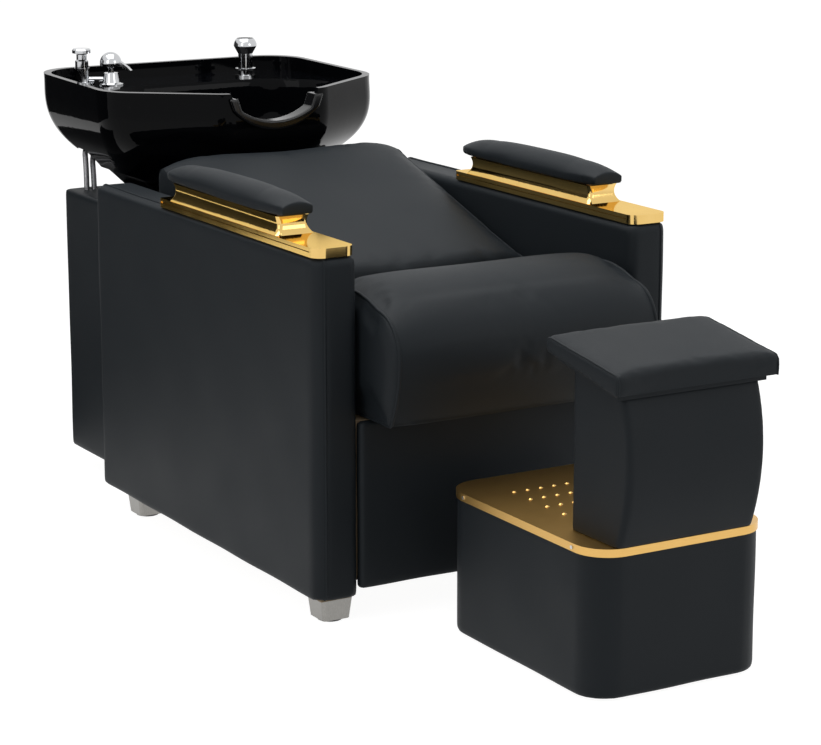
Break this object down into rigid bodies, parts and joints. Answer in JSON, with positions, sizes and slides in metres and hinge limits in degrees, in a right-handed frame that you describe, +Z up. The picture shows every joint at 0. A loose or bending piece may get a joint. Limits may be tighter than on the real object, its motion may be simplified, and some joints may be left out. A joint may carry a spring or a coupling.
{
  "type": "hair washing bed",
  "caption": "Salon hair washing bed with upholstered seat, gold-trimmed armrests, tilting black basin with mixer and hand spray, and a separate footstool with calf rest.",
  "frame": {"origin": "centre of the footprint, on the floor", "axes": "+Z up, the chair faces -Y towards its footstool, +X to the right seen from the front"},
  "size_m": [0.7, 1.882, 0.8423],
  "materials": {
    "leatherette": "soft matte black upholstery",
    "wood": "raw board",
    "stainless": "brushed",
    "gold_mirror": "polished gold",
    "gold_satin": "satin gold",
    "ceramic": "glossy black glaze",
    "gloss_black": "glossy black",
    "gel": "satin black gel",
    "chrome": "polished",
    "black_plastic": "matte black",
    "panel": "matte black paint",
    "steel": "dark paint",
    "zinc": "zinc plated",
    "hose_grey": "grey hose",
    "braid": "braided hose",
    "brass_raw": "raw brass"
  },
  "bodies": {
    "chair": {"access_panel": "panel", "access_screws": "zinc", "arm_frames": "wood", "arm_left_bracket": "gold_mirror", "arm_left_cover": "leatherette", "arm_left_pad": "leatherette", "arm_left_plate": "gold_mirror", "arm_pad_boards": "wood", "arm_right_bracket": "gold_mirror", "arm_right_cover": "leatherette", "arm_right_pad": "leatherette", "arm_right_plate": "gold_mirror", "arm_screws": "zinc", "back_cushion": "leatherette", "back_deck": "wood", "bowl_stand": "steel", "drain_hose": "hose_grey", "drain_outlet": "black_plastic", "feet": "stainless", "foot_glides": "black_plastic", "front_panel": "leatherette", "housing_floor": "wood", "housing_shell": "leatherette", "inlet_nipples": "brass_raw", "seat_cushion": "leatherette", "seat_deck": "wood", "seat_frame": "wood", "supply_hose_cold": "braid", "supply_hose_hot": "braid", "tilt_pins": "zinc"},
    "bowl": {"bowl": "ceramic", "neck_rest": "gel", "bowl_cradle": "gloss_black", "tilt_bracket": "steel", "tilt_bushes": "black_plastic", "tilt_bolts": "zinc", "drain_body": "chrome", "drain_nut": "black_plastic", "mixer_base": "chrome", "breaker_body": "chrome", "breaker_cap": "chrome", "breaker_link": "chrome", "deck_nuts": "brass_raw", "sprayer_holder": "chrome"},
    "mixer_swivel": {"mixer_ball": "chrome"},
    "mixer_handle": {"mixer_handle": "chrome"},
    "sprayer": {"sprayer": "chrome", "sprayer_face": "black_plastic"},
    "strainer": {"strainer": "chrome"},
    "footstool": {"stool_cover": "leatherette", "stool_frame": "wood", "stool_glides": "black_plastic", "step_plate": "gold_satin", "step_screws": "zinc", "calf_post": "leatherette", "calf_post_frame": "wood", "calf_pad_board": "leatherette", "calf_pad": "leatherette"}
  },
  "joints": [
    {"name": "bowl_tilt", "type": "hinge", "parent": "chair", "child": "bowl", "pos_m": [0, 0.6475, 0.56], "axis": [1, 0, 0], "range_deg": [-12, 3], "deforming": ["drain_hose", "supply_hose_hot", "supply_hose_cold"]},
    {"name": "mixer_turn", "type": "hinge", "parent": "bowl", "child": "mixer_swivel", "pos_m": [-0.155, 0.8495, 0.807], "axis": [0, 0, 1], "range_deg": [-50, 50]},
    {"name": "mixer_lift", "type": "hinge", "parent": "mixer_swivel", "child": "mixer_handle", "pos_m": [-0.155, 0.8495, 0.807], "axis": [-0.7071, -0.7071, 0], "range_deg": [0, 22]},
    {"name": "sprayer_pull", "type": "slide", "parent": "bowl", "child": "sprayer", "axis": [0, 0, 1], "range_m": [0, 0.35]},
    {"name": "strainer_lift", "type": "slide", "parent": "bowl", "child": "strainer", "axis": [0, 0, 1], "range_m": [0, 0.08]},
    {"name": "stool_slide", "type": "slide", "parent": "chair", "child": "footstool", "axis": [0, 1, 0], "range_m": [-0.3, 0.08]}
  ]
}
